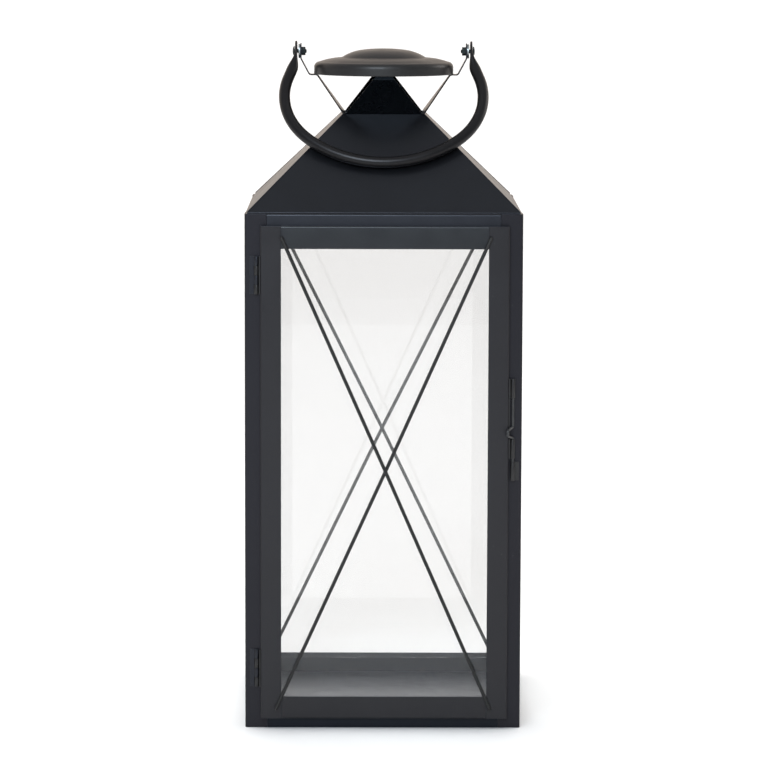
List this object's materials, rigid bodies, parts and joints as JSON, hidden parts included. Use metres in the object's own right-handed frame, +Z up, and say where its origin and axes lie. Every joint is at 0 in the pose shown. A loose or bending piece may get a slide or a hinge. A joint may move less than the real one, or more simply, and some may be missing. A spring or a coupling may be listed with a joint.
{
  "type": "candle lantern",
  "caption": "Square black sheet-metal candle lantern with crossed-wire glass windows, hinged latched glass door, pyramid roof, round vent cap and swinging tube handle.",
  "frame": {"origin": "centre of the floor panel's underside, on the surface the lantern stands on", "axes": "+Z up, -Y out through the door, +X towards the latch side"},
  "size_m": [0.2, 0.2094, 0.4955],
  "materials": {
    "black_powder_coat": "satin powder coat",
    "clear_glass": "clear float glass",
    "pivot_hardware": "black painted screw, washer and nut"
  },
  "bodies": {
    "lantern_body": {"bail_strap_left": "black_powder_coat", "bail_strap_right": "black_powder_coat", "bottom_rail_back": "black_powder_coat", "bottom_rail_front": "black_powder_coat", "bottom_rail_left": "black_powder_coat", "bottom_rail_right": "black_powder_coat", "corner_post_back_left": "black_powder_coat", "corner_post_back_right": "black_powder_coat", "corner_post_front_left": "black_powder_coat", "corner_post_front_right": "black_powder_coat", "floor_panel": "black_powder_coat", "glass_clips_back": "black_powder_coat", "glass_clips_left": "black_powder_coat", "glass_clips_right": "black_powder_coat", "hinge_leaf_fixed_lower": "black_powder_coat", "hinge_leaf_fixed_upper": "black_powder_coat", "hinge_pins": "black_powder_coat", "latch_keeper": "black_powder_coat", "neck_tab_back": "black_powder_coat", "neck_tab_front": "black_powder_coat", "pivot_nuts": "pivot_hardware", "pivot_screws": "pivot_hardware", "pivot_washers": "pivot_hardware", "roof_panel_back": "black_powder_coat", "roof_panel_front": "black_powder_coat", "roof_panel_left": "black_powder_coat", "roof_panel_right": "black_powder_coat", "top_rail_back": "black_powder_coat", "top_rail_front": "black_powder_coat", "top_rail_left": "black_powder_coat", "top_rail_right": "black_powder_coat", "vent_cap": "black_powder_coat", "window_glass_back": "clear_glass", "window_glass_left": "clear_glass", "window_glass_right": "clear_glass", "window_wire_falling_back": "black_powder_coat", "window_wire_falling_left": "black_powder_coat", "window_wire_falling_right": "black_powder_coat", "window_wire_rising_back": "black_powder_coat", "window_wire_rising_left": "black_powder_coat", "window_wire_rising_right": "black_powder_coat"},
    "door": {"door_stile_left": "black_powder_coat", "door_stile_right": "black_powder_coat", "door_rail_bottom": "black_powder_coat", "door_rail_top": "black_powder_coat", "door_glass": "clear_glass", "door_glass_clips": "black_powder_coat", "door_wire_rising": "black_powder_coat", "door_wire_falling": "black_powder_coat", "hinge_leaf_door_lower": "black_powder_coat", "hinge_leaf_door_upper": "black_powder_coat", "latch_guide": "black_powder_coat"},
    "latch_bolt": {"latch_bolt": "black_powder_coat"},
    "bail": {"bail": "black_powder_coat"}
  },
  "joints": [
    {"name": "door_swing", "type": "hinge", "parent": "lantern_body", "child": "door", "pos_m": [-0.0914, -0.102, 0.1875], "axis": [0, 0, -1], "range_deg": [0, 140]},
    {"name": "bolt_slide", "type": "slide", "parent": "door", "child": "latch_bolt", "axis": [0, 0, 1], "range_m": [0, 0.02]},
    {"name": "bail_swing", "type": "hinge", "parent": "lantern_body", "child": "bail", "pos_m": [0, 0, 0.488], "axis": [-1, 0, 0], "range_deg": [0, 276]}
  ]
}
